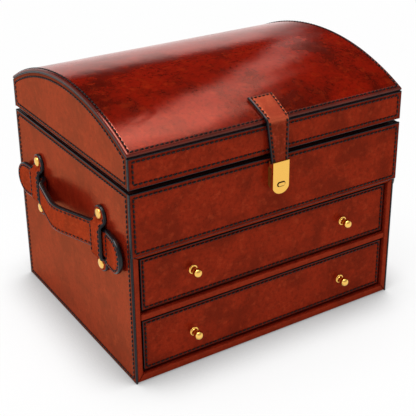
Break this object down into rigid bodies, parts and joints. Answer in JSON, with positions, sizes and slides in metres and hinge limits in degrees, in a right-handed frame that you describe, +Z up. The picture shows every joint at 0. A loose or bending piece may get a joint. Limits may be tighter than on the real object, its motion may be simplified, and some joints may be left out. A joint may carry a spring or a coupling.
{
  "type": "jewelry chest",
  "caption": "Leather covered jewelry chest with a domed hinged lid, a lined tray and two drawers, a clasp strap in front and a carrying strap on each end.",
  "frame": {"origin": "centre of the base's underside, where the chest stands", "axes": "+Z up, the drawers' front faces -Y, +X to the right of someone who faces the front"},
  "size_m": [0.3414, 0.2602, 0.2592],
  "materials": {
    "bridle_leather": "glossy",
    "strap_leather": "glossy",
    "frame_leather": "satin",
    "board": "matt",
    "guide_wood": "waxed",
    "suede": "napped",
    "felt": "matt",
    "brass": "polished"
  },
  "bodies": {
    "case": {"tray_front_skin": "bridle_leather", "side_skin_left": "bridle_leather", "side_skin_right": "bridle_leather", "back_skin": "bridle_leather", "keeper_left_front": "strap_leather", "keeper_left_rear": "strap_leather", "keeper_right_front": "strap_leather", "keeper_right_rear": "strap_leather", "face_frame": "frame_leather", "case_side_left": "board", "case_side_right": "board", "case_back": "board", "case_bottom": "board", "drawer_shelf": "board", "tray_floor": "board", "tray_front": "board", "drawer_guides": "guide_wood", "rim_lip": "suede", "tray_lining": "suede", "tray_dividers": "suede", "ring_rolls": "suede", "base_felt": "felt", "hinge_lower_leaves": "brass", "hinge_pins": "brass", "hinge_screws_lower": "brass", "lock_body": "brass", "keeper_rivets": "brass"},
    "lid": {"lid_dome_skin": "bridle_leather", "lid_front_skin": "bridle_leather", "lid_back_skin": "bridle_leather", "lid_end_skin_left": "bridle_leather", "lid_end_skin_right": "bridle_leather", "lid_front": "board", "lid_back": "board", "lid_end_left": "board", "lid_end_right": "board", "lid_dome": "board", "lid_lining": "suede", "strap_anchor": "strap_leather", "hinge_upper_leaves": "brass", "hinge_screws_upper": "brass"},
    "strap": {"strap_tail": "strap_leather", "hasp_plate": "brass", "hasp_clamp": "brass"},
    "button": {"push_button": "brass"},
    "drawer_upper": {"drawer_upper_skin": "bridle_leather", "drawer_upper_front": "board", "drawer_upper_knobs": "brass", "drawer_upper_walls": "board", "drawer_upper_bottom": "board", "drawer_upper_lining": "suede"},
    "drawer_lower": {"drawer_lower_skin": "bridle_leather", "drawer_lower_front": "board", "drawer_lower_knobs": "brass", "drawer_lower_walls": "board", "drawer_lower_bottom": "board", "drawer_lower_lining": "suede"},
    "handle_left": {"handle_left": "strap_leather"},
    "handle_right": {"handle_right": "strap_leather"}
  },
  "joints": [
    {"name": "lid_hinge", "type": "hinge", "parent": "case", "child": "lid", "pos_m": [0, 0.1252, 0.19385], "axis": [-1, 0, 0], "range_deg": [0, 95]},
    {"name": "strap_hinge", "type": "hinge", "parent": "lid", "child": "strap", "pos_m": [0, -0.1251, 0.225], "axis": [-1, 0, 0], "range_deg": [0, 75]},
    {"name": "button_push", "type": "slide", "parent": "strap", "child": "button", "axis": [0, 1, 0], "range_m": [0, 0.0008], "stiffness_N_per_m": 400},
    {"name": "drawer_upper_slide", "type": "slide", "parent": "case", "child": "drawer_upper", "axis": [0, -1, 0], "range_m": [0, 0.17]},
    {"name": "drawer_lower_slide", "type": "slide", "parent": "case", "child": "drawer_lower", "axis": [0, -1, 0], "range_m": [0, 0.17]},
    {"name": "handle_left_slide", "type": "slide", "parent": "case", "child": "handle_left", "axis": [0, 1, 0], "range_m": [-0.002, 0.002]},
    {"name": "handle_right_slide", "type": "slide", "parent": "case", "child": "handle_right", "axis": [0, 1, 0], "range_m": [-0.002, 0.002]}
  ]
}
